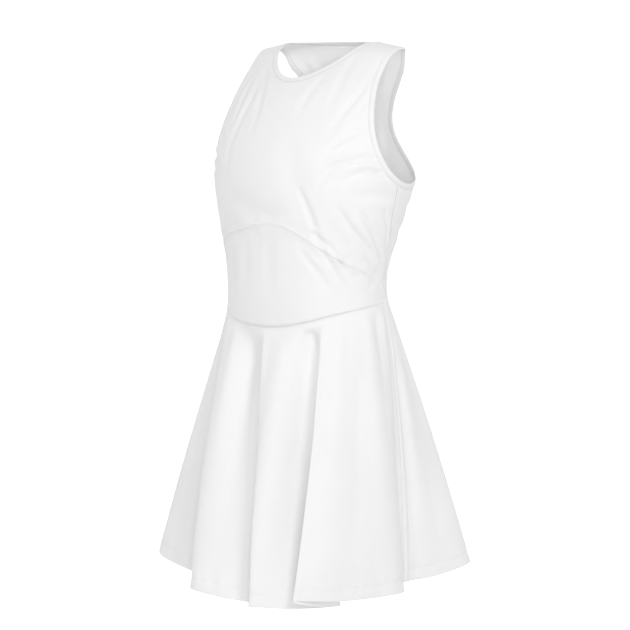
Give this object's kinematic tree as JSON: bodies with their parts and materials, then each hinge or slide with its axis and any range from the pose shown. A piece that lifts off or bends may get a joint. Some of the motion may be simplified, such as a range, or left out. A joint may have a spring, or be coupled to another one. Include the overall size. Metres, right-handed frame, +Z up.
{
  "type": "tennis dress",
  "caption": "Sleeveless white tennis dress, hollow as worn, with a fitted top, an arched seam under the bust and a flared skirt in soft folds.",
  "frame": {"origin": "between the shoulders, at the height of the top of the shoulders, where the wearer carries the dress", "axes": "+Z up, front towards -Y, the wearer's left towards +X"},
  "size_m": [0.4322, 0.4637, 0.787],
  "materials": {
    "jersey": "matt white stretch jersey",
    "binding": "matt white elastic binding"
  },
  "bodies": {
    "root": {"front_bodice": "jersey", "front_midriff": "jersey", "back_bodice": "jersey", "skirt_front": "jersey", "skirt_back": "jersey", "neck_binding": "binding", "armhole_binding_left": "binding", "armhole_binding_right": "binding"}
  },
  "joints": []
}
